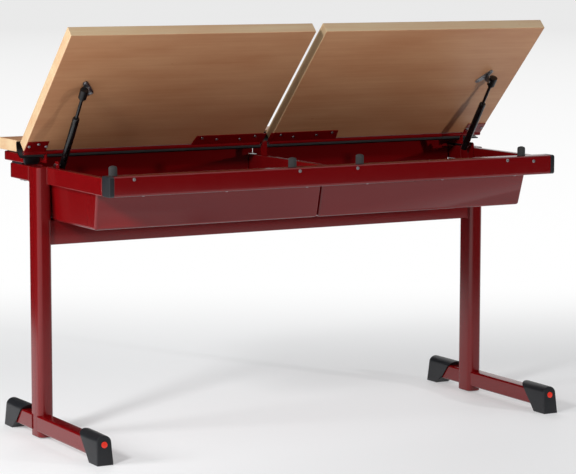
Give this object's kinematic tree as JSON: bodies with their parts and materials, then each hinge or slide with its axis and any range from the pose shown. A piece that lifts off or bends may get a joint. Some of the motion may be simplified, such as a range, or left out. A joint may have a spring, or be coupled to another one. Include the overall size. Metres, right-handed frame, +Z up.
{
  "type": "double school desk",
  "caption": "Long steel desk on cantilever feet, with hinged wooden lids held up by gas springs over sheet metal trays, a pencil trough and a fixed rear board.",
  "frame": {"origin": "on the floor, midway between the screw heads on the front beam and the back of the foot caps, and midway along the desk", "axes": "+Z up, +X to the right of the seated user, +Y from the user to the back of the desk; lids drawn open at 45 degrees"},
  "size_m": [1.3, 0.5584, 0.9858],
  "materials": {
    "red_powder_coat": "glossy wine red powder coat on steel",
    "beech_board": "matt lacquered beech board",
    "black_plastic": "fine grained moulding",
    "red_plug": "smooth moulding",
    "buffer_rubber": "matt",
    "zinc_screw": "bright zinc plating",
    "black_steel": "black satin coating on steel"
  },
  "bodies": {
    "frame": {"front_beam": "red_powder_coat", "end_rail_left": "red_powder_coat", "end_rail_right": "red_powder_coat", "middle_rail": "red_powder_coat", "rear_beam": "red_powder_coat", "column_left": "red_powder_coat", "column_right": "red_powder_coat", "rear_arm_left": "red_powder_coat", "rear_arm_right": "red_powder_coat", "column_gussets": "red_powder_coat", "stretcher": "red_powder_coat", "upper_rail_left": "red_powder_coat", "upper_rail_right": "red_powder_coat", "foot_front_left": "red_powder_coat", "foot_front_right": "red_powder_coat", "foot_rear_left": "red_powder_coat", "foot_rear_right": "red_powder_coat", "tray_left": "red_powder_coat", "tray_right": "red_powder_coat", "hinge_lugs": "red_powder_coat", "strut_foot_lugs": "red_powder_coat", "rear_panel": "beech_board", "front_beam_caps": "black_plastic", "column_plugs": "black_plastic", "rear_arm_caps": "black_plastic", "upper_rail_front_caps": "black_plastic", "upper_rail_rear_caps": "black_plastic", "rail_pads": "black_plastic", "panel_strips": "black_plastic", "foot_front_caps": "black_plastic", "foot_rear_caps": "black_plastic", "pencil_trough": "black_plastic", "foot_plugs": "red_plug", "lid_buffers": "buffer_rubber", "beam_screws": "zinc_screw", "tray_screws": "zinc_screw", "panel_screws": "zinc_screw", "rail_bolts": "zinc_screw", "hinge_shaft": "zinc_screw", "strut_foot_studs": "zinc_screw"},
    "left_lid": {"hinge_inner_leaf_left": "red_powder_coat", "hinge_outer_leaf_left": "red_powder_coat", "lid_left": "beech_board", "hinge_screws_left": "zinc_screw", "bracket_screws_left": "zinc_screw", "lid_bracket_left": "black_steel"},
    "right_lid": {"hinge_inner_leaf_right": "red_powder_coat", "hinge_outer_leaf_right": "red_powder_coat", "lid_right": "beech_board", "hinge_screws_right": "zinc_screw", "bracket_screws_right": "zinc_screw", "lid_bracket_right": "black_steel"},
    "left_cylinder": {"strut_lower_socket_left": "black_plastic", "strut_cylinder_left": "black_steel"},
    "right_cylinder": {"strut_lower_socket_right": "black_plastic", "strut_cylinder_right": "black_steel"},
    "left_rod": {"strut_upper_socket_left": "black_plastic", "strut_rod_left": "black_steel"},
    "right_rod": {"strut_upper_socket_right": "black_plastic", "strut_rod_right": "black_steel"}
  },
  "joints": [
    {"name": "left_lid_hinge", "type": "hinge", "parent": "frame", "child": "left_lid", "pos_m": [-0.332, 0.1152, 0.6815], "axis": [1, 0, 0], "range_deg": [0, 45]},
    {"name": "left_strut_pivot", "type": "hinge", "parent": "frame", "child": "left_cylinder", "pos_m": [-0.5695, 0.0652, 0.655], "axis": [1, 0, 0], "range_deg": [0, 51]},
    {"name": "left_rod_slide", "type": "slide", "parent": "left_cylinder", "child": "left_rod", "axis": [0, -0.5731, 0.8195], "range_m": [-0.0378, 0], "stiffness_N_per_m": 660, "springref_m": 0.204},
    {"name": "right_lid_hinge", "type": "hinge", "parent": "frame", "child": "right_lid", "pos_m": [0.332, 0.1152, 0.6815], "axis": [1, 0, 0], "range_deg": [0, 45]},
    {"name": "right_strut_pivot", "type": "hinge", "parent": "frame", "child": "right_cylinder", "pos_m": [0.5695, 0.0652, 0.655], "axis": [1, 0, 0], "range_deg": [0, 51]},
    {"name": "right_rod_slide", "type": "slide", "parent": "right_cylinder", "child": "right_rod", "axis": [0, -0.5731, 0.8195], "range_m": [-0.0378, 0], "stiffness_N_per_m": 660, "springref_m": 0.204}
  ],
  "couplings": [
    {"joint": "left_strut_pivot", "follows": "left_lid_hinge", "ratio": 1.13},
    {"joint": "left_rod_slide", "follows": "left_lid_hinge", "m_per_rad": -0.048},
    {"joint": "right_strut_pivot", "follows": "right_lid_hinge", "ratio": 1.13},
    {"joint": "right_rod_slide", "follows": "right_lid_hinge", "m_per_rad": -0.048}
  ]
}
